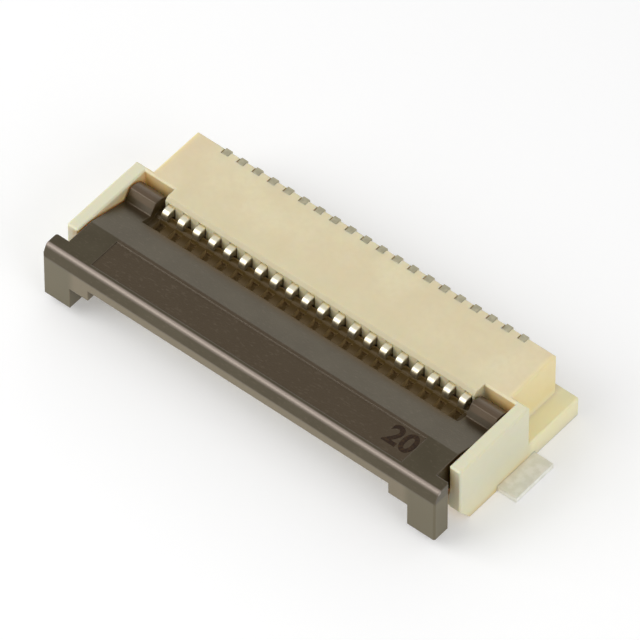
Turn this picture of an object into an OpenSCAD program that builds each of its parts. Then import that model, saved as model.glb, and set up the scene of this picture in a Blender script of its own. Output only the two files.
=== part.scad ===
// Right-angle surface-mount connector for a flat flexible cable.
//
// A moulded housing holds a row of blanked fork contacts.  The cable goes in from
// the front (-Y), over the contacts' lower beams.  A front-flip actuator turns on a
// shaft that the contacts' upper beams hook over, and presses the cable down.
//
// Frame: X runs along the row of contacts, +Y points to the rear (the tails), +Z up.
// The origin lies on the board, under the centre of the whole part.  Millimetres.

/* [Circuits] */
// Number of contacts
positions = 20; // [6:1:40]
// Distance from one contact to the next
pitch = 0.5; // [0.45:0.05:0.8]

/* [Flat cable] */
// Thickness of the cable's stiffened end
cable_t = 0.3; // [0.25:0.01:0.35]
// Gap between each edge of the cable and its slot
cable_gap = 0.035; // [0.02:0.005:0.1]
// How far the closed actuator squeezes the cable onto the contacts
squeeze = 0.04; // [0.01:0.01:0.08]

/* [Housing] */
// Depth from the front of the closed actuator to the rear of the base
body_depth = 5.6; // [5.4:0.1:6.4]
// Height of the housing above the board
body_h = 2.0; // [1.95:0.01:2.3]
// Height of the floor that the cable slides on
floor_t = 0.55; // [0.5:0.01:0.6]
// How far the floor starts behind the front of the side arms
floor_setback = 0.12; // [0:0.01:0.4]
// Height of the cable slot inside the block
slot_h = 0.45; // [0.38:0.01:0.5]
// Thickness of the roof over the contacts
roof_t = 0.13; // [0.1:0.01:0.2]
// Width of each guide wall
guide_w = 0.645; // [0.5:0.005:0.9]
// Thickness of each side arm
arm_t = 0.37; // [0.3:0.01:0.6]
// Depth of the full-height block behind the hinge
block_d = 1.84; // [1.6:0.01:2.2]
// How far the base stands out behind the block
ledge_d = 0.23; // [0.1:0.01:0.35]
// Width of the low shoulder at each end of the block
shoulder_w = 0.55; // [0.3:0.01:0.8]
// Height of the base and its shoulders
shoulder_h = 0.62; // [0.5:0.01:0.8]
// Distance from the last contact's centre to the end of the comb
comb_end = 0.2; // [0.16:0.01:0.3]
// Bevel along the comb's front top edge
lip_bevel = 0.1; // [0.04:0.01:0.3]
// Thickness of the bridge that ties each arm to the block
bridge_t = 0.12; // [0.08:0.01:0.3]
// Depth of the slope under the front of the base
toe_d = 0.38; // [0.1:0.01:0.6]
// Height of the slope under the front of the base
toe_h = 0.5; // [0.2:0.01:0.6]
// Small bevel on the outer moulded edges
edge = 0.04; // [0.01:0.005:0.08]

/* [Contacts] */
// Thickness of the contacts' sheet
sheet_t = 0.2; // [0.15:0.01:0.22]
// Gap on each side of a contact in its slot
slot_gap = 0.02; // [0.01:0.005:0.04]
// Depth of the web that joins the two beams
web_d = 0.92; // [0.7:0.01:1.1]
// How far the web stands out behind the block
web_proud = 0.04; // [0:0.01:0.1]
// Depth of the web's upright end, seen in the block's rear top edge
tower_d = 0.2; // [0.1:0.01:0.3]
// Thickness of the housing under the contacts
groove_z = 0.12; // [0.08:0.01:0.18]
// Height of a beam where it meets the web
root_h = 0.5; // [0.35:0.01:0.55]
// Height of the upper beam ahead of its root
beam_h = 0.34; // [0.25:0.01:0.4]
// Height of the lower beam ahead of its root
spring_h = 0.2; // [0.15:0.01:0.24]
// Thickness of the hook over the actuator's shaft
hook_t = 0.23; // [0.15:0.01:0.26]
// How far the hook reaches ahead of the shaft's centre
hook_reach = 0.12; // [0.1:0.01:0.18]
// Angle above the shaft's centre at which the hook's front ends
hook_rise = 60; // [40:1:65]
// Room for each beam to bend
flex_gap = 0.05; // [0.03:0.01:0.08]
// Distance from the shaft's centre forward to the contact point
bump_ahead = 0.55; // [0.4:0.01:0.9]
// Radius of the contact point
bump_r = 0.12; // [0.08:0.01:0.16]
// Distance from the contact point forward to the lower beam's tip
nose_d = 0.72; // [0.5:0.01:0.9]
// Length of the tails behind the base
tail_len = 0.8; // [0.5:0.05:1.2]
// Height of the tails
tail_h = 0.22; // [0.15:0.01:0.3]

/* [Actuator] */
// Depth of the flat grip behind the front edge
grip_d = 1.39; // [1.0:0.01:1.8]
// Depth of the recess in the grip
grip_recess = 0.02; // [0.01:0.005:0.06]
// Depth of the bevel above the front face
brow_d = 0.22; // [0.1:0.01:0.3]
// Height of the bevel above the front face
brow_h = 0.32; // [0.1:0.01:0.5]
// Radius of the ridge along the front top edge
ridge_r = 0.1; // [0.03:0.01:0.15]
// Height of the opening for the cable under the front edge
lead_h = 0.36; // [0.1:0.01:0.5]
// Depth of the slope behind that opening
lead_d = 0.7; // [0.3:0.01:1.2]
// How far each wing stands out beyond the plate
wing_w = 0.4; // [0.2:0.01:0.43]
// Depth of the wings and feet
wing_d = 0.55; // [0.4:0.01:0.7]
// Gap between each wing and the arm behind it
wing_gap = 0.41; // [0.2:0.01:0.6]
// Width of each foot
foot_w = 0.86; // [0.6:0.01:0.94]
// Height of the feet above the board
foot_clear = 0.3; // [0.1:0.01:0.5]
// Width of the step beside each foot
step_w = 0.6; // [0.3:0.01:0.9]

/* [Hinge] */
// Radius of the shaft that the contacts hook over
shaft_r = 0.14; // [0.1:0.01:0.16]
// Distance from the shaft's centre down to the face that presses the cable
cam_r = 0.4; // [0.36:0.01:0.44]
// Radius of the ears at the ends of the hinge
ear_r = 0.52; // [0.46:0.01:0.55]
// How far the ears reach behind the shaft's centre
ear_d = 0.35; // [0.2:0.01:0.36]
// Gap between each ear and the end of the comb
ear_gap = 0.1; // [0.05:0.01:0.2]
// Radius of the pins at the ends of the actuator
pin_r = 0.2; // [0.12:0.01:0.25]
// Length of the pins
pin_len = 0.2; // [0.1:0.01:0.24]
// Running gap round the shaft, the ears and the pins
run_gap = 0.03; // [0.02:0.005:0.05]
// Gap between the plate and each arm
swing_gap = 0.06; // [0.03:0.01:0.1]
// Gap between the closed plate and the guide walls
press_gap = 0.07; // [0.03:0.01:0.12]
// Gap on each side of a contact in the actuator
pocket_gap = 0.03; // [0.02:0.005:0.07]

/* [Solder tabs] */
// Thickness of the tabs' sheet
tab_t = 0.15; // [0.1:0.01:0.2]
// Length of each tab along the side
tab_len = 1.45; // [1.0:0.05:1.8]
// Distance from the rear of the base to the tab
tab_back = 1.75; // [1.5:0.05:2.2]
// How far each tab reaches out from the side
tab_reach = 0.6; // [0.3:0.05:1.2]
// Height of the leg inside the housing
tab_h = 0.5; // [0.35:0.01:0.56]
// Inner radius of the tabs' bend
tab_bend = 0.08; // [0.04:0.01:0.12]
// Gap round each tab in its slot
tab_gap = 0.02; // [0.01:0.005:0.04]

/* [Hidden] */
$fn = 48;
// Overlap that carries a cut past the face it opens
past = 1;
// Overlap that joins two solids of one piece
join = 0.02;

// Places along X, from the centre
span = (positions - 1) * pitch;
slot_half = (positions + 1) * pitch / 2 + cable_gap;
comb_half = span / 2 + comb_end;
ear_in = comb_half + ear_gap;
arm_in = slot_half + guide_w;
arm_out = arm_in + arm_t;
block_half = arm_out - shoulder_w;
plate_half = arm_in - swing_gap;
wing_half = plate_half + wing_w;
foot_in = wing_half - foot_w;
step_in = foot_in - step_w;

// Places along Y: the whole part, tails included, is centred on the origin
back_y = (body_depth - tail_len) / 2;
front_y = back_y - body_depth;
block_back = back_y - ledge_d;
wall_y = block_back - block_d;
pivot_y = wall_y - ear_r - run_gap;
lip_y = pivot_y + shaft_r + run_gap;
web_back = block_back + web_proud;
web_front = web_back - web_d;
stop_y = web_front - 2 * flex_gap;
arm_front = front_y + wing_d + wing_gap;
floor_front = arm_front + floor_setback;
bump_y = pivot_y - bump_ahead;
nose_y = bump_y - nose_d;
heel_y = back_y - ledge_d - tower_d / 2;
grip_back = front_y + grip_d;
tab_y = back_y - tab_back - tab_len;

// Levels above the board, from the flush top down to the cable and the floor
plate_top = body_h;
bay_top = body_h - roof_t;
hook_top = bay_top - flex_gap;
hook_r = shaft_r + run_gap;
pivot_z = hook_top - hook_t - hook_r;
press_z = pivot_z - cam_r;
guide_top = press_z - press_gap;
bump_top = press_z - cable_t + squeeze;
slot_top = floor_t + slot_h;
spring_z = groove_z + 2 * flex_gap;

// Shapes that several outlines share
pivot = [pivot_y, pivot_z];
hook_round = 0.8 * hook_t;
neck = shaft_r / 2;
slope_start = [grip_back, plate_top];
ear_foot = pivot + [-2 * shaft_r, 3 * neck];
slope_reach = body_h - pivot_z + run_gap;
slope_share = (pivot_y - slope_reach - grip_back) / (ear_foot.x - grip_back);
slope_end = slope_start + slope_share * (ear_foot - slope_start);
guide_slope = (guide_top - floor_t) / 2;
brow_run = [brow_d, brow_h - ridge_r];
brow_angle = 180 + atan2(brow_run.y, brow_run.x) - acos(ridge_r / norm(brow_run));

// Names of the contacts: contact_01, contact_02 and so on
function two_digits(n) = str(n < 10 ? "0" : "", n);
function contact_name(n) = str("contact_", two_digits(n));
function contact_x(n) = (n - 1) * pitch - span / 2;

// Prism along X, from x0 to x1, of a shape drawn as [y, z]
module along_x(x0, x1) {
    translate([x0, 0, 0])
        rotate([90, 0, 90])
            linear_extrude(x1 - x0)
                children();
}

// Prism along Y, from y0 to y1, of a shape drawn as [x, z]
module along_y(y0, y1) {
    translate([0, y1, 0])
        rotate([90, 0, 0])
            linear_extrude(y1 - y0)
                children();
}

// Rectangle between two corners
module rect(lo, hi) {
    translate(lo)
        square(hi - lo);
}

// Rectangle with its two upper corners bevelled
module roofed_rect(lo, hi, bevel) {
    polygon([
        lo,
        [hi.x, lo.y],
        [hi.x, hi.y - bevel],
        [hi.x - bevel, hi.y],
        [lo.x + bevel, hi.y],
        [lo.x, hi.y - bevel]
    ]);
}

// Box with bevelled upright and top edges
module moulded_box(lo, hi, bevel) {
    intersection() {
        along_x(lo.x, hi.x)
            roofed_rect([lo.y, lo.z], [hi.y, hi.z], bevel);
        along_y(lo.y, hi.y)
            roofed_rect([lo.x, lo.z], [hi.x, hi.z], bevel);
        translate([0, 0, lo.z])
            linear_extrude(hi.z - lo.z)
                intersection() {
                    roofed_rect([lo.x, lo.y], [hi.x, hi.y], bevel);
                    mirror([0, 1])
                        roofed_rect([lo.x, -hi.y], [hi.x, -lo.y], bevel);
                }
    }
}

// Draws its children at both ends of the part
module both_ends() {
    children();
    mirror([1, 0, 0])
        children();
}

// Draws its children once for each contact
module each_contact() {
    for (n = [1:positions])
        translate([contact_x(n), 0, 0])
            children();
}

// Waste outside a rounded corner; the corner points at [-1, 1] from its arc's centre
module corner_waste(r) {
    difference() {
        translate([-r - join, 0])
            square(r + join);
        circle(r);
    }
}

// ---- Housing ----

// Everything of the housing before it is cut
module housing_mass() {
    // Base, with its shoulders and rear ledge
    moulded_box([-arm_out, floor_front, 0], [arm_out, back_y, shoulder_h], edge);
    // Full-height block over the webs of the contacts
    moulded_box([-block_half, wall_y, 0], [block_half, block_back, body_h], edge);
    // Bridge from the block to both arms
    moulded_box([-arm_out, wall_y, 0], [arm_out, wall_y + bridge_t, body_h], edge);
    both_ends() {
        moulded_box([arm_in, arm_front, 0], [arm_out, wall_y + bridge_t, body_h], edge);
        guide_wall();
    }
    comb_lip();
}

// Low wall beside the cable, with a sloped start
module guide_wall() {
    along_x(slot_half, arm_in + arm_t / 2)
        polygon([
            [floor_front, 0],
            [wall_y + join, 0],
            [wall_y + join, guide_top],
            [floor_front + guide_slope, guide_top],
            [floor_front, guide_top - guide_slope]
        ]);
}

// Front of the block between the ears, where the upper beams come out
module comb_lip() {
    along_x(-comb_half, comb_half)
        polygon([
            [lip_y, floor_t],
            [wall_y + edge + join, floor_t],
            [wall_y + edge + join, body_h],
            [lip_y + lip_bevel, body_h],
            [lip_y, body_h - lip_bevel]
        ]);
}

// Slot that the cable enters, flared at its mouth
module cable_slot() {
    mouth = edge + join;
    translate([-slot_half, front_y, floor_t])
        cube([2 * slot_half, stop_y - front_y, slot_h]);
    along_x(-slot_half, slot_half)
        polygon([
            [floor_front - past, floor_t - past],
            [floor_front, floor_t - 2 * mouth],
            [floor_front + 3 * mouth, floor_t],
            [floor_front + 3 * mouth, slot_top],
            [floor_front - past, slot_top]
        ]);
}

// Space that one contact fills or bends in, drawn as [y, z]
module contact_bay() {
    // Groove under the lower beam
    rect([nose_y - 2 * flex_gap, groove_z], [back_y + past, floor_t + join]);
    // Slot round the upper beam
    rect([lip_y - past, slot_top - join], [block_back + past, bay_top]);
    // Slot round the web
    rect([stop_y - join, groove_z], [block_back + past, bay_top]);
    // Open top over the web's upright end
    rect([web_back - tower_d - slot_gap, groove_z], [back_y + past, body_h + past]);
    // Open bottom over the tail
    rect([heel_y - slot_gap, -past], [back_y + past, floor_t]);
}

// Slot for a solder tab, drawn as [x, z] at the +X end
module tab_bay() {
    leg = arm_in - tab_t;
    rect([leg - tab_gap, -past], [arm_in + tab_gap, tab_h]);
    rect([leg - tab_gap, -past], [arm_out + past, tab_t + tab_gap]);
    // Room for the inside of the bend
    polygon([
        [arm_in, tab_t],
        [arm_in + 2 * tab_bend + tab_gap, tab_t],
        [arm_in, tab_t + 2 * tab_bend + tab_gap]
    ]);
}

module housing() {
    color([0.85, 0.81, 0.67])
        difference() {
            housing_mass();
            cable_slot();
            each_contact()
                along_x(-sheet_t / 2 - slot_gap, sheet_t / 2 + slot_gap)
                    contact_bay();
            // Slope under the front edge
            along_x(-arm_out - past, arm_out + past)
                polygon([
                    [arm_front - past, -past],
                    [arm_front + toe_d * (1 + past / toe_h), -past],
                    [arm_front, toe_h],
                    [arm_front - past, toe_h]
                ]);
            both_ends() {
                along_y(tab_y - tab_gap, tab_y + tab_len + tab_gap)
                    tab_bay();
                // Bearing for the actuator's pin
                translate([arm_in - join, pivot_y, pivot_z])
                    rotate([0, 90, 0])
                        cylinder(r = pin_r + run_gap, h = pin_len + join);
            }
        }
}

// ---- Contacts ----

// Upper beam, from the web to the hook over the actuator's shaft
module upper_beam() {
    difference() {
        polygon([
            [web_front + join, hook_top - root_h],
            [web_front + join, hook_top],
            [pivot_y - hook_reach, hook_top],
            [pivot_y - hook_reach, pivot_z],
            [lip_y + beam_h / 2, pivot_z],
            [lip_y + beam_h, hook_top - beam_h],
            [web_front - root_h, hook_top - beam_h]
        ]);
        translate(pivot)
            circle(hook_r);
        rect([pivot_y - past, pivot_z - past], [pivot_y, pivot_z + hook_r * sin(hook_rise)]);
        translate([pivot_y - hook_reach, hook_top] + [1, -1] * hook_round)
            corner_waste(hook_round);
    }
}

// Lower beam, from the web to the point that touches the cable
module lower_beam() {
    top = spring_z + spring_h;
    polygon([
        [web_front + join, groove_z],
        [web_front + join, groove_z + root_h],
        [web_front - root_h / 2, top],
        [bump_y + 3 * bump_r, top],
        [bump_y + bump_r * cos(45), bump_top - bump_r + bump_r * sin(45)],
        [bump_y - bump_r * sin(30), bump_top - bump_r + bump_r * cos(30)],
        [nose_y + spring_h / 2, top],
        [nose_y, top - spring_h / 2],
        [nose_y, spring_z],
        [web_front - root_h / 2, spring_z]
    ]);
    translate([bump_y, bump_top - bump_r])
        circle(bump_r);
}

// Outline of a contact, drawn as [y, z]
module contact_outline() {
    upper_beam();
    lower_beam();
    // Web, seated between the floor and the roof of its slot
    rect([web_front, groove_z], [web_back, bay_top]);
    // Upright end in the block's rear edge
    rect([web_back - tower_d, bay_top - join], [web_back, body_h - join]);
    // Heel and tail
    rect([web_front, groove_z], [back_y, groove_z + root_h]);
    difference() {
        rect([heel_y, 0], [back_y + tail_len, tail_h]);
        translate([back_y + tail_len - tail_h / 2, tail_h / 2])
            mirror([1, 0])
                corner_waste(tail_h / 2);
    }
}

module contact(n) {
    color([0.83, 0.68, 0.36])
        translate([contact_x(n), 0, 0])
            along_x(-sheet_t / 2, sheet_t / 2)
                contact_outline();
}

// ---- Solder tabs ----

// Bent strip, drawn as [x, z] at the +X end
module tab_outline() {
    leg = arm_in - tab_t;
    bend_r = tab_bend + tab_t;
    rect([leg, bend_r], [arm_in, tab_h]);
    rect([leg + bend_r, 0], [arm_out + tab_reach, tab_t]);
    translate([leg + bend_r, bend_r])
        difference() {
            intersection() {
                circle(bend_r);
                translate([-bend_r, -bend_r])
                    square(bend_r);
            }
            circle(tab_bend);
        }
}

// Tab at the +X end
module solder_tab() {
    color([0.66, 0.66, 0.64])
        along_y(tab_y, tab_y + tab_len)
            tab_outline();
}

module solder_tab_right() {
    solder_tab();
}

module solder_tab_left() {
    mirror([1, 0, 0])
        solder_tab();
}

// ---- Actuator ----

// Points along an arc; the angles count from +Y towards +Z
function arc(centre, r, from, to, steps = 6) = [
    for (i = [0:steps])
        let (a = from + (to - from) * i / steps)
            centre + r * [cos(a), sin(a)]
];

// Front of the plate and the wings, from the underside up and over the ridge, which
// the bevel meets at a tangent
function brow(bottom) = concat(
    [[front_y, bottom], [front_y, plate_top - brow_h]],
    arc([front_y + brow_d, plate_top - ridge_r], ridge_r, brow_angle, 90)
);

// Plate between the ears, drawn as [y, z]; its slope ends where the open plate clears
// the top of the block, and its rear end is the cam below the shaft
module plate_outline() {
    polygon(concat(
        brow(press_z),
        [
            slope_start,
            slope_end,
            pivot + [-cam_r - shaft_r, neck],
            pivot + [0, neck],
            pivot + [neck, 0],
            pivot + [neck, shaft_r - cam_r],
            pivot + [0, -cam_r]
        ]
    ));
}

// Plate at the ears, drawn as [y, z]; each arc stays clear of what it sweeps past
module ear_outline() {
    polygon(concat(
        brow(press_z),
        [
            slope_start,
            ear_foot,
            pivot + [-neck, ear_r]
        ],
        arc(pivot, ear_r, 90, acos(ear_d / ear_r)),
        arc(pivot, cam_r, -acos(ear_d / cam_r), -90)
    ));
}

// Wing and foot in front of an arm, drawn as [y, z]
module wing_outline() {
    polygon(concat(
        brow(foot_clear),
        [
            [front_y + wing_d, plate_top],
            [front_y + wing_d, foot_clear]
        ]
    ));
}

// Wing and foot at the +X end, with bevelled outer corners
module wing() {
    intersection() {
        along_x(foot_in, wing_half)
            wing_outline();
        linear_extrude(plate_top)
            polygon([
                [foot_in, front_y],
                [wing_half - edge, front_y],
                [wing_half, front_y + edge],
                [wing_half, front_y + wing_d - edge],
                [wing_half - edge, front_y + wing_d],
                [foot_in, front_y + wing_d]
            ]);
    }
}

// Pocket in which one contact's hook swings, drawn as [y, z] from the pivot; the
// neck that carries the shaft stays
module pocket_outline() {
    sweep = norm([hook_reach, hook_r + hook_t]) + run_gap;
    polygon([
        [-sweep, -hook_reach - run_gap],
        [-neck, -hook_reach - run_gap],
        [-neck, 0],
        [sweep, 0],
        [sweep, past],
        [-sweep, past]
    ]);
}

// Plate, ears and wings before the shaft and the pins are added
module actuator_plate() {
    difference() {
        union() {
            along_x(-ear_in, ear_in)
                plate_outline();
            both_ends() {
                along_x(ear_in, plate_half)
                    ear_outline();
                wing();
            }
        }
        each_contact()
            translate([0, pivot_y, pivot_z])
                along_x(-sheet_t / 2 - pocket_gap, sheet_t / 2 + pocket_gap)
                    pocket_outline();
        // Opening for the cable under the front edge
        along_x(-step_in, step_in)
            polygon([
                [front_y - past, press_z - past],
                [front_y - past, press_z + lead_h],
                [front_y, press_z + lead_h],
                [front_y + lead_d, press_z],
                [front_y + lead_d, press_z - past]
            ]);
        // Recess in the grip
        translate([-comb_half, front_y + brow_d + ridge_r, plate_top - grip_recess])
            cube([2 * comb_half, grip_d - brow_d - 2 * ridge_r, past]);
    }
}

module actuator() {
    color([0.31, 0.27, 0.23]) {
        actuator_plate();
        // Shaft under the contacts' hooks
        translate([-ear_in - join, pivot_y, pivot_z])
            rotate([0, 90, 0])
                cylinder(r = shaft_r, h = 2 * (ear_in + join));
        // Pins in the arms' bearings
        both_ends()
            translate([plate_half - join, pivot_y, pivot_z])
                rotate([0, 90, 0])
                    cylinder(r = pin_r, h = pin_len - swing_gap + join);
    }
}

housing();
actuator();
for (n = [1:positions]) contact(n);
solder_tab_left();
solder_tab_right();
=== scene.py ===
# Looks of a flat cable connector: ivory housing, dark flip actuator, gold-plated contacts.
import math

import bpy
from mathutils import Matrix, Vector


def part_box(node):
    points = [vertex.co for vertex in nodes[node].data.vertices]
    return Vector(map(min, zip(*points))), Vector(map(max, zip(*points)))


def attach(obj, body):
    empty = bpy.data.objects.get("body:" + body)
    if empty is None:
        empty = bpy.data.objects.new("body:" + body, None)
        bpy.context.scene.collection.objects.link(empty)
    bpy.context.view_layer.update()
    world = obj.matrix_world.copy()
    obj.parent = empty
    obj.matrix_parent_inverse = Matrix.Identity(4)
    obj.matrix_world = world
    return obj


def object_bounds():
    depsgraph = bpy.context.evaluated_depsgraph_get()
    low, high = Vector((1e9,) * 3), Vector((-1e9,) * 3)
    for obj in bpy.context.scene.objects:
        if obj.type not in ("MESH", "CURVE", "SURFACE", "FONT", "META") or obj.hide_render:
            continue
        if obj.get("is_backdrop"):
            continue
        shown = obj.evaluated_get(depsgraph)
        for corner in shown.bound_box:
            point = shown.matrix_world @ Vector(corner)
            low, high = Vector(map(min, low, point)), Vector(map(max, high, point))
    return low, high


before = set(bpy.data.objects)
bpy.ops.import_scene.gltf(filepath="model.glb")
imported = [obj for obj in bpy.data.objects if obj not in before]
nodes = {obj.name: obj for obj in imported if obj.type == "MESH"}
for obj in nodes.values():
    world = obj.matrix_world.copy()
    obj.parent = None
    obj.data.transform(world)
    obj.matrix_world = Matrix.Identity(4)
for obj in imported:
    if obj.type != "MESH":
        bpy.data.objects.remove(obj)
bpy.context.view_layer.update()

MM = 0.001  # metres in a millimetre; lengths here and in the materials are in millimetres
SAMPLES = 8  # rays that look for an edge or a corner

# The camera looks down on the connector's front right
CAMERA_AZIMUTH = 39.65
CAMERA_ELEVATION = 49.7
CAMERA_LENS = 600.0
CAMERA_FILL = 0.93  # share of the picture's width that the connector takes

# The actuator's parts, measured from the corners of its box
GRIP_HALF = 4.95
GRIP_FRONT = 0.32
GRIP_BACK = 1.39
GRIP_RECESS = 0.02
RIDGE_FRONT = 0.13
RIDGE_BACK = 0.23
RIDGE_DROP = (0.14, 0.08)
SKIRT_BACK = 0.6
SKIRT_DROP = (0.3, 0.4)
COMB_FRONT = 1.95
COMB_FADE = 0.6

# The number on the grip: the count of the contacts
NUMBER = "20"
NUMBER_IN = 1.77  # from the right of the actuator's box
NUMBER_BACK = 0.87  # from its front
NUMBER_SIZE = 0.86
NUMBER_FILM = 0.004
NUMBER_WEIGHT = 0.022  # added all round its strokes

# Where a finish, painted light or painted shade starts and where it is full, measured in from the
# sides of the housing
ARM_IN = (0.5, 0.3)
SHOULDER_IN = (0.75, 0.45)
END_IN = (1.35, 1.05)

# Where a finish, painted light or painted shade starts and where it is full, in the CAD frame
FOOT_X = (5.2, 5.5)
REAR_Y = (0.35, 0.6)
NEAR_LIP_Y = (0.9, 0.0)
TROUGH_Y = (-0.82, -0.44)
EAR_Y = (-0.85, -0.65)
TAIL_Y = (0.9, 1.6)
ARM_FOOT_Z = (1.1, 0.1)
ABOVE_SHOULDER_Z = (0.66, 0.9)
ABOVE_SLOT_Z = (1.3, 1.5)
LIP_BEVEL_Z = (1.87, 1.91)
BEAM_Z = (1.2, 1.3)
HOOK_Z = (1.2, 1.6)
HOOK_FRONT_Z = (1.80, 1.73)

# Bands that a finish, painted light or painted shade fills, in the CAD frame
LIP_Y = (-0.2, 0.05)
EAR_FACE_Z = (1.64, 1.78)

CONTACTS = sorted(name for name in nodes if name.startswith("contact_"))
TABS = sorted(name for name in nodes if name.startswith("solder_tab_"))


# ---- Node helpers ----

class Shader:
    """A material's node tree with one Principled shader, and short ways to add nodes."""

    def __init__(self, name, **sockets):
        self.material = bpy.data.materials.new(name)
        self.material.use_nodes = True
        self.tree = self.material.node_tree
        self.surface = self.tree.nodes["Principled BSDF"]
        for socket, value in sockets.items():
            self.surface.inputs[socket.replace("_", " ")].default_value = value
        place = self.add("ShaderNodeTexCoord").outputs["Object"]
        self.place = self.vector("MULTIPLY", place, (1 / MM,) * 3)

    def add(self, kind, links=(), **settings):
        node = self.tree.nodes.new(kind)
        for name, value in settings.items():
            setattr(node, name, value)
        for socket, value in dict(links).items():
            self.put(node.inputs[socket], value)
        return node

    def put(self, socket, value):
        """Links an output to the socket, or sets the socket to a number or a colour."""
        if isinstance(value, bpy.types.NodeSocket):
            self.tree.links.new(value, socket)
        elif hasattr(value, "__len__") and len(value) == 3 and socket.type == "RGBA":
            socket.default_value = (*value, 1)
        else:
            socket.default_value = value

    def vector(self, operation, a, b):
        node = self.add("ShaderNodeVectorMath", {0: a, 1: b}, operation=operation)
        return node.outputs["Value" if operation == "DOT_PRODUCT" else "Vector"]

    def math(self, operation, a, b=0.0, clamp=False):
        node = self.add("ShaderNodeMath", {0: a, 1: b}, operation=operation, use_clamp=clamp)
        return node.outputs[0]

    def times(self, *values):
        product = values[0]
        for value in values[1:]:
            product = self.math("MULTIPLY", product, value)
        return product

    def without(self, mask, other):
        """The mask with another mask taken out of it."""
        return self.math("SUBTRACT", mask, other, clamp=True)

    def ramp(self, value, low, high, out_low=0.0, out_high=1.0):
        """Maps low..high to out_low..out_high, smoothly and held at both ends."""
        links = {"Value": value, 1: low, 2: high, 3: out_low, 4: out_high}
        node = self.add("ShaderNodeMapRange", links, interpolation_type="SMOOTHSTEP")
        return node.outputs[0]

    def between(self, value, low, high, blur):
        """1 where low < value < high, with blurred ends."""
        start = self.ramp(value, low - blur, low + blur)
        end = self.ramp(value, high + blur, high - blur)
        return self.times(start, end)

    def mix(self, share, a, b):
        """The first colour, or the second one where the share is 1."""
        node = self.add("ShaderNodeMix", data_type="RGBA")
        for socket, value in zip(("Factor", "A", "B"), (share, a, b)):
            kind = "VALUE" if socket == "Factor" else "RGBA"
            self.put(next(s for s in node.inputs if s.name == socket and s.type == kind), value)
        return next(s for s in node.outputs if s.type == "RGBA")

    def noise(self, per_mm, detail=3.0, stretch=(1, 1, 1)):
        place = self.vector("MULTIPLY", self.place, stretch)
        links = {"Vector": place, "Scale": per_mm, "Detail": detail}
        return self.add("ShaderNodeTexNoise", links).outputs[0]

    def axis(self, name):
        return self.add("ShaderNodeSeparateXYZ", {0: self.place}).outputs[name]

    def beside(self):
        """Distance to the left or the right of the connector's middle."""
        return self.math("ABSOLUTE", self.axis("X"))

    def soft_edges(self, radius_mm):
        """Normal with every edge rounded to the given radius."""
        node = self.add("ShaderNodeBevel", {"Radius": radius_mm * MM}, samples=SAMPLES)
        return node.outputs[0]

    def edge_mask(self, radius_mm):
        """1 on edges and 0 on faces."""
        flat = self.add("ShaderNodeNewGeometry").outputs["Normal"]
        near = self.vector("DOT_PRODUCT", self.soft_edges(radius_mm), flat)
        return self.ramp(near, 0.99, 0.85)

    def crevice(self, depth_mm, start=0.85, full=0.25):
        """1 deep in corners and slots, 0 in the open."""
        links = {"Distance": depth_mm * MM}
        node = self.add("ShaderNodeAmbientOcclusion", links, samples=SAMPLES)
        return self.ramp(node.outputs["AO"], start, full)

    def bump(self, height, height_mm, normal):
        links = {"Height": height, "Distance": height_mm * MM, "Strength": 1.0, "Normal": normal}
        return self.add("ShaderNodeBump", links).outputs[0]

    def paint(self, **links):
        for socket, value in links.items():
            self.put(self.surface.inputs[socket.replace("_", " ")], value)


# ---- Materials ----

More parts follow.
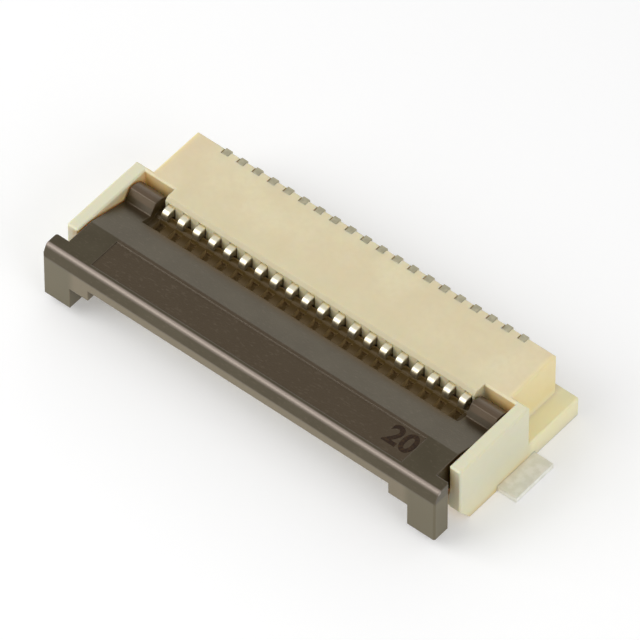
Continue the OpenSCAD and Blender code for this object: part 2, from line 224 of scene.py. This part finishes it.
def housing_plastic():
    """Ivory moulded plastic: slightly cloudy and translucent, with painted glow and painted shade
    warming its corners.
    """
    s = Shader(
        "housing_plastic",
        Subsurface_Weight=0.45,
        Subsurface_Scale=0.3 * MM,
        Subsurface_Radius=(1.0, 0.66, 0.3),
        IOR=1.5,
    )
    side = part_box("housing")[1].x / MM
    beside, y, z = s.beside(), s.axis("Y"), s.axis("Z")
    on_arm, on_shoulder, on_end = (
        s.ramp(beside, side - start, side - full)
        for start, full in (ARM_IN, SHOULDER_IN, END_IN)
    )
    at_rear = s.ramp(y, *REAR_Y)

    # Cloudy ivory, finely mottled
    clouds = s.ramp(s.noise(0.7, 4), 0.35, 0.68)
    colour = s.mix(clouds, (0.755, 0.645, 0.425), (0.80, 0.705, 0.475))
    mottle = s.ramp(s.noise(6, 3), 0.3, 0.75)
    colour = s.mix(s.times(mottle, 0.3), colour, (0.72, 0.605, 0.39))

    # Painted glow of light through the thin plastic: yellower shoulders and paler arms; the feet
    # of the arms warmer
    shoulder_glow = s.mix(s.ramp(z, *ABOVE_SHOULDER_Z), (0.99, 0.94, 0.61), (0.93, 0.79, 0.40))
    colour = s.mix(s.times(on_shoulder, at_rear, 0.85), colour, shoulder_glow)
    pale = s.times(s.without(on_arm, at_rear), 0.85)
    colour = s.mix(pale, colour, (0.75, 0.745, 0.56))
    foot = s.times(s.ramp(z, *ARM_FOOT_Z), on_arm, 0.6)
    colour = s.mix(foot, colour, (0.86, 0.78, 0.50))

    # Painted shade: corners darkened to brown; painted light: the corners between the contacts
    # lifted pale
    corner = s.crevice(0.45, 0.8)
    lip = s.without(s.times(s.between(y, *LIP_Y, 0.03), s.ramp(z, *ABOVE_SLOT_Z)), on_end)
    corner_shade_and_light = s.mix(lip, (0.50, 0.37, 0.17), (0.97, 0.85, 0.52))
    colour = s.mix(s.times(corner, 0.9), colour, corner_shade_and_light)

    # Painted shade: the top darkens a little towards the block's bevelled lip, and the bevel,
    # which faces the lamps, is darkened more
    near_lip = s.without(s.ramp(y, *NEAR_LIP_Y), on_end)
    colour = s.mix(s.times(near_lip, 0.6), colour, (0.70, 0.63, 0.41))
    bevel = s.times(lip, s.ramp(z, *LIP_BEVEL_Z))
    colour = s.mix(bevel, colour, (0.60, 0.53, 0.345))

    # Painted glow in the corners at the ends, and a painted highlight on the edges, paler than
    # the faces but for the lip's, which get painted shade
    glow = s.times(corner, on_end, 0.95)
    colour = s.mix(glow, colour, s.mix(at_rear, (0.95, 0.68, 0.27), (1.0, 0.93, 0.70)))
    rim = s.times(s.edge_mask(0.05), 0.45)
    colour = s.mix(rim, colour, s.mix(lip, (0.80, 0.76, 0.60), (0.52, 0.44, 0.27)))

    grain = s.noise(34, 2)
    skin = s.noise(4, 2)
    normal = s.bump(grain, 0.0025, s.soft_edges(0.035))
    normal = s.bump(skin, 0.006, normal)
    s.paint(Base_Color=colour, Roughness=s.ramp(skin, 0.2, 0.8, 0.34, 0.5), Normal=normal)
    return s.material


def actuator_plastic():
    """Dark brown glass-filled plastic: satin, with pale fibre flecks and a spark-eroded grip."""
    s = Shader("actuator_plastic", IOR=1.7, Specular_Tint=(1.0, 0.89, 0.72, 1))
    low, high = (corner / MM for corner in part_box("actuator"))
    x, y, z = s.axis("X"), s.axis("Y"), s.axis("Z")
    on_x = s.between(x, -GRIP_HALF, GRIP_HALF, 0.02)
    on_y = s.between(y, low.y + GRIP_FRONT, low.y + GRIP_BACK, 0.03)
    on_top = s.ramp(z, high.z - 4 * GRIP_RECESS, high.z - 2 * GRIP_RECESS)
    grip = s.times(on_x, on_y, on_top)

    # Cloudy dark plastic, browner on the grip, with flecks of fibre, and a painted highlight that
    # makes the edges pale
    clouds = s.ramp(s.noise(1.1, 4), 0.3, 0.7)
    colour = s.mix(clouds, (0.035, 0.026, 0.010), (0.047, 0.037, 0.018))
    colour = s.mix(s.times(grip, 0.8), colour, (0.037, 0.019, 0.005))
    flecks = s.ramp(s.noise(22, 2, stretch=(0.35, 1, 1)), 0.56, 0.72)
    colour = s.mix(s.times(flecks, 0.25), colour, (0.13, 0.10, 0.07))
    colour = s.mix(s.times(s.edge_mask(0.06), 0.4), colour, (0.19, 0.15, 0.12))

    # Painted light: a paler front face, less so on the feet; and a painted highlight along the
    # ridge
    skirt = s.ramp(z, *(high.z - drop for drop in SKIRT_DROP))
    skirt = s.times(skirt, s.math("LESS_THAN", y, low.y + SKIRT_BACK), 0.8)
    on_foot = s.ramp(s.beside(), *FOOT_X)
    front = s.mix(on_foot, (0.200, 0.162, 0.098), (0.118, 0.100, 0.050))
    colour = s.mix(skirt, colour, front)
    ridge = s.between(y, low.y + RIDGE_FRONT, low.y + RIDGE_BACK, 0.03)
    high_up = s.ramp(z, *(high.z - drop for drop in RIDGE_DROP))
    colour = s.mix(s.times(ridge, high_up, 0.9), colour, (0.33, 0.27, 0.235))

    # Reddish ears beside the comb
    by_comb = s.between(x, -GRIP_HALF, GRIP_HALF, 0.35)
    ears = s.times(s.without(s.ramp(y, *EAR_Y), by_comb), 0.8)
    face = s.between(z, *EAR_FACE_Z, 0.03)
    colour = s.mix(ears, colour, s.mix(face, (0.088, 0.053, 0.029), (0.025, 0.014, 0.004)))

    # Painted shade: the comb darkens towards its shaft, with painted light in its pockets to
    # match; other hollows get painted shade
    on_comb = s.ramp(y, low.y + COMB_FRONT, low.y + COMB_FRONT + COMB_FADE)
    comb = s.times(on_comb, by_comb)
    hollow = s.crevice(0.7, 0.85, 0.35)
    deep = s.math("MAXIMUM", comb, s.times(hollow, 0.85))
    behind = s.ramp(y, *TROUGH_Y)
    open_brown = s.mix(behind, (0.150, 0.100, 0.048), (0.055, 0.032, 0.009))
    hollow_brown = s.mix(behind, (0.28, 0.225, 0.13), (0.09, 0.056, 0.014))
    brown = s.mix(hollow, open_brown, hollow_brown)
    brown = s.mix(s.crevice(0.5, 0.36, 0.1), brown, (0.42, 0.29, 0.13))
    colour = s.mix(deep, colour, s.mix(comb, (0.030, 0.019, 0.006), brown))

    pits = s.times(s.noise(30, 3), s.ramp(grip, 0, 1, 0.35, 1.0))
    s.paint(
        Base_Color=colour,
        Roughness=s.ramp(grip, 0, 1, 0.33, 0.42),
        Specular_IOR_Level=s.ramp(deep, 0, 1, 0.5, 0.12),
        Normal=s.bump(pits, 0.006, s.soft_edges(0.04)),
    )
    return s.material


def contact_metal():
    """Blanked bronze: gold plate over the working end, duller plate towards the tail."""
    s = Shader("contact_metal", Metallic=0.75)
    y, z = s.axis("Y"), s.axis("Z")
    rear = s.ramp(y, *TAIL_Y)
    # Deep gold low down and pale gold up on the hooks, the paleness partly a painted highlight
    gold = s.mix(s.ramp(z, *HOOK_Z), (1.0, 0.76, 0.36), (1.0, 0.96, 0.78))
    # Painted shade darkens the hooks' lower fronts
    front = s.times(s.ramp(z, *HOOK_FRONT_Z), s.ramp(z, *BEAM_Z), 0.85)
    gold = s.mix(front, gold, (0.10, 0.07, 0.03))
    gold = s.mix(s.ramp(s.noise(9, 3), 0.7, 0.35, 0, 0.2), gold, (0.95, 0.74, 0.38))
    dull = s.mix(s.ramp(s.noise(6, 3), 0.35, 0.7), (0.50, 0.46, 0.32), (0.62, 0.575, 0.41))
    strokes = s.noise(40, 2, stretch=(0.1, 1, 1))
    s.paint(
        Base_Color=s.mix(rear, gold, dull),
        Roughness=s.ramp(rear, 0, 1, 0.36, 0.45),
        Normal=s.bump(strokes, 0.0015, s.soft_edges(0.03)),
    )
    return s.material


def tab_metal():
    """Matte tin plate with a faint crystalline mottle."""
    s = Shader("tab_metal", Metallic=0.5)
    mottle = s.ramp(s.noise(5, 4), 0.35, 0.65)
    colour = s.mix(mottle, (0.87, 0.86, 0.77), (0.97, 0.96, 0.89))
    normal = s.bump(s.noise(18, 3), 0.003, s.soft_edges(0.03))
    s.paint(Base_Color=colour, Roughness=s.ramp(mottle, 0, 1, 0.5, 0.38), Normal=normal)
    return s.material


def etched_mark():
    """Burnt brown of a laser mark, uneven along its strokes."""
    s = Shader("etched_mark", IOR=1.3)
    burn = s.ramp(s.noise(14, 3), 0.4, 0.7)
    colour = s.mix(burn, (0.022, 0.010, 0.004), (0.052, 0.029, 0.012))
    normal = s.bump(s.noise(45, 3), 0.006, s.soft_edges(0.01))
    s.paint(Base_Color=colour, Roughness=s.ramp(burn, 0, 1, 0.6, 0.8), Normal=normal)
    return s.material


def dress(names, material):
    for name in names:
        nodes[name].data.materials.clear()
        nodes[name].data.materials.append(material)


dress(["housing"], housing_plastic())
dress(["actuator"], actuator_plastic())
dress(CONTACTS, contact_metal())
dress(TABS, tab_metal())


# ---- Number on the grip ----

def cavity_number():
    """Plain number, one film thick, on the floor of the grip's recess."""
    curve = bpy.data.curves.new("cavity_number_curve", "FONT")
    curve.body = NUMBER
    curve.size = NUMBER_SIZE * MM
    curve.extrude = NUMBER_FILM * MM
    curve.offset = NUMBER_WEIGHT * MM
    curve.align_x = "CENTER"
    curve.align_y = "CENTER"
    drawn = bpy.data.objects.new("cavity_number_curve", curve)
    bpy.context.collection.objects.link(drawn)
    graph = bpy.context.evaluated_depsgraph_get()
    mesh = bpy.data.meshes.new_from_object(drawn.evaluated_get(graph))
    bpy.data.objects.remove(drawn)
    low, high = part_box("actuator")
    inwards, back, down = NUMBER_IN * MM, NUMBER_BACK * MM, GRIP_RECESS * MM
    place = Vector((high.x - inwards, low.y + back, high.z - down))
    mesh.transform(Matrix.Translation(place))
    piece = bpy.data.objects.new("cavity_number", mesh)
    bpy.context.collection.objects.link(piece)
    mesh.materials.clear()
    mesh.materials.append(etched_mark())
    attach(piece, "flap")


cavity_number()


# ---- Stage, lights and camera ----

def shown_rays(tree):
    """1 for rays that show the backdrop: straight to the camera, or by a mirror or glass."""
    path = tree.nodes.new("ShaderNodeLightPath")
    total = path.outputs["Is Camera Ray"]
    for name in ("Is Glossy Ray", "Is Transmission Ray"):
        either = tree.nodes.new("ShaderNodeMath")
        either.operation = "MAXIMUM"
        tree.links.new(total, either.inputs[0])
        tree.links.new(path.outputs[name], either.inputs[1])
        total = either.outputs[0]
    return total


def floor(half_mm=800, drop_mm=0.01, grey=0.84, lift=0.2):
    """Pale floor a hair under the connector, lifted towards white where it is seen."""
    half = half_mm * MM
    mesh = bpy.data.meshes.new("floor")
    corners = [(-half, -half, 0), (half, -half, 0), (half, half, 0), (-half, half, 0)]
    mesh.from_pydata(corners, [], [(0, 1, 2, 3)])
    plane = bpy.data.objects.new("floor", mesh)
    plane.location.z = -drop_mm * MM
    bpy.context.collection.objects.link(plane)
    material = bpy.data.materials.new("floor_white")
    material.use_nodes = True
    tree = material.node_tree
    surface = tree.nodes["Principled BSDF"]
    surface.inputs["Base Color"].default_value = (grey, grey, grey, 1)
    surface.inputs["Roughness"].default_value = 0.9
    surface.inputs["Emission Color"].default_value = (1, 1, 1, 1)
    strength = tree.nodes.new("ShaderNodeMath")
    strength.operation = "MULTIPLY"
    strength.inputs[1].default_value = lift
    tree.links.new(shown_rays(tree), strength.inputs[0])
    tree.links.new(strength.outputs[0], surface.inputs["Emission Strength"])
    plane.data.materials.append(material)
    plane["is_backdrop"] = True


def direction(azimuth, elevation):
    """Unit vector from the object towards a light or a camera."""
    a, e = math.radians(azimuth), math.radians(elevation)
    return Vector((math.sin(a) * math.cos(e), -math.cos(a) * math.cos(e), math.sin(e)))


def softbox(name, azimuth, elevation, distance_mm, size_mm, radiance):
    """White rectangular light that faces the connector's place."""
    data = bpy.data.lights.new(name, "AREA")
    data.shape = "RECTANGLE"
    data.size, data.size_y = size_mm[0] * MM, size_mm[1] * MM
    data.energy = radiance * math.pi * data.size * data.size_y
    lamp = bpy.data.objects.new(name, data)
    back = direction(azimuth, elevation)
    lamp.location = back * distance_mm * MM
    lamp.rotation_euler = (-back).to_track_quat("-Z", "Y").to_euler()
    bpy.context.collection.objects.link(lamp)


def sky(strength=0.5):
    """Even white light from all round."""
    world = bpy.data.worlds.new("studio")
    bpy.context.scene.world = world
    world.use_nodes = True
    background = world.node_tree.nodes["Background"]
    background.inputs["Color"].default_value = (1, 1, 1, 1)
    background.inputs["Strength"].default_value = strength


def camera():
    """Long lens on the middle of the connector, at a distance that fills the picture."""
    data = bpy.data.cameras.new("camera")
    data.lens = CAMERA_LENS
    low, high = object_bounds()
    centre = (low + high) / 2
    back = direction(CAMERA_AZIMUTH, CAMERA_ELEVATION)
    across = back.cross(Vector((0, 0, 1))).normalized()
    corners = [Vector((x, y, 0)) for x in (low.x, high.x) for y in (low.y, high.y)]
    half = max(abs(across.dot(corner - centre)) for corner in corners)
    distance = half / CAMERA_FILL * data.lens / (data.sensor_width / 2)
    data.clip_start, data.clip_end = distance / 100, distance * 10
    eye = bpy.data.objects.new("camera", data)
    eye.location = centre + back * distance
    eye.rotation_euler = (-back).to_track_quat("-Z", "Y").to_euler()
    bpy.context.collection.objects.link(eye)
    bpy.context.scene.camera = eye


floor()
sky()
softbox("front_left", azimuth=-45, elevation=38, distance_mm=100, size_mm=(80, 90), radiance=2.6)
softbox("behind_low", azimuth=-153, elevation=22, distance_mm=110, size_mm=(90, 40), radiance=0.8)
softbox("right", azimuth=78, elevation=30, distance_mm=110, size_mm=(80, 60), radiance=2.3)
camera()
bpy.context.scene.view_settings.view_transform = "Standard"
